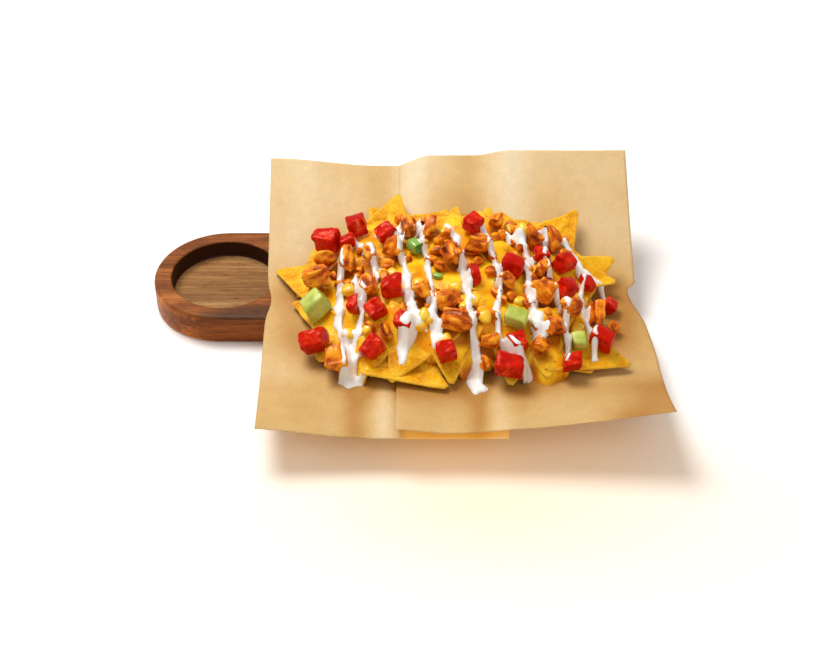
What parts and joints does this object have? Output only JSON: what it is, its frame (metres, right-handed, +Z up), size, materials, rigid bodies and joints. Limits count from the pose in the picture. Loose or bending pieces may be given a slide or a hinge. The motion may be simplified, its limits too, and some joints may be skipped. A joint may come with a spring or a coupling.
{
  "type": "loaded nachos on a paper-lined serving board",
  "caption": "Heap of tortilla chips under cheese with diced tomato, avocado, chicken and cream drizzle, on kraft paper over a wooden paddle board with a round sauce well.",
  "frame": {"origin": "middle of the board's flat underside, z = 0 on the table", "axes": "+X along the board, away from the ear with the sauce well; +Y to the side where the paper stands up; +Z up"},
  "size_m": [0.339, 0.265, 0.0707],
  "materials": {
    "wood": "oiled dark hardwood, satin, grain along the board",
    "kraft_paper": "matt kraft paper with soft creases",
    "chips_and_cheese": "crisp fried maize with glossy melted cheese; stands in for food",
    "tomato": "wet cut tomato; stands in for food",
    "avocado": "soft cut avocado; stands in for food",
    "green_pepper": "crisp cut green pepper; stands in for food",
    "grilled_chicken": "browned, glazed chicken; stands in for food"
  },
  "bodies": {
    "root": {"board": "wood", "paper_under": "kraft_paper", "paper_over": "kraft_paper", "chip_heap": "chips_and_cheese", "tomato_01": "tomato", "tomato_02": "tomato", "tomato_03": "tomato", "tomato_04": "tomato", "tomato_05": "tomato", "tomato_06": "tomato", "tomato_07": "tomato", "tomato_08": "tomato", "tomato_09": "tomato", "tomato_10": "tomato", "tomato_11": "tomato", "tomato_12": "tomato", "tomato_13": "tomato", "tomato_14": "tomato", "tomato_15": "tomato", "tomato_16": "tomato", "tomato_17": "tomato", "tomato_18": "tomato", "tomato_19": "tomato", "tomato_20": "tomato", "tomato_21": "tomato", "tomato_22": "tomato", "tomato_23": "tomato", "avocado_01": "avocado", "avocado_02": "avocado", "avocado_03": "avocado", "pepper_01": "green_pepper", "chicken_01": "grilled_chicken", "chicken_02": "grilled_chicken", "chicken_03": "grilled_chicken", "chicken_04": "grilled_chicken", "chicken_05": "grilled_chicken", "chicken_06": "grilled_chicken", "chicken_07": "grilled_chicken", "chicken_08": "grilled_chicken", "chicken_09": "grilled_chicken", "chicken_10": "grilled_chicken", "chicken_11": "grilled_chicken", "chicken_12": "grilled_chicken", "chicken_13": "grilled_chicken", "chicken_14": "grilled_chicken", "chicken_15": "grilled_chicken", "chicken_16": "grilled_chicken", "chicken_17": "grilled_chicken", "chicken_18": "grilled_chicken", "chicken_19": "grilled_chicken", "chicken_20": "grilled_chicken", "chicken_21": "grilled_chicken", "chicken_22": "grilled_chicken", "chicken_23": "grilled_chicken", "chicken_24": "grilled_chicken", "chicken_25": "grilled_chicken", "chicken_26": "grilled_chicken", "chicken_27": "grilled_chicken", "chicken_28": "grilled_chicken"}
  },
  "joints": []
}
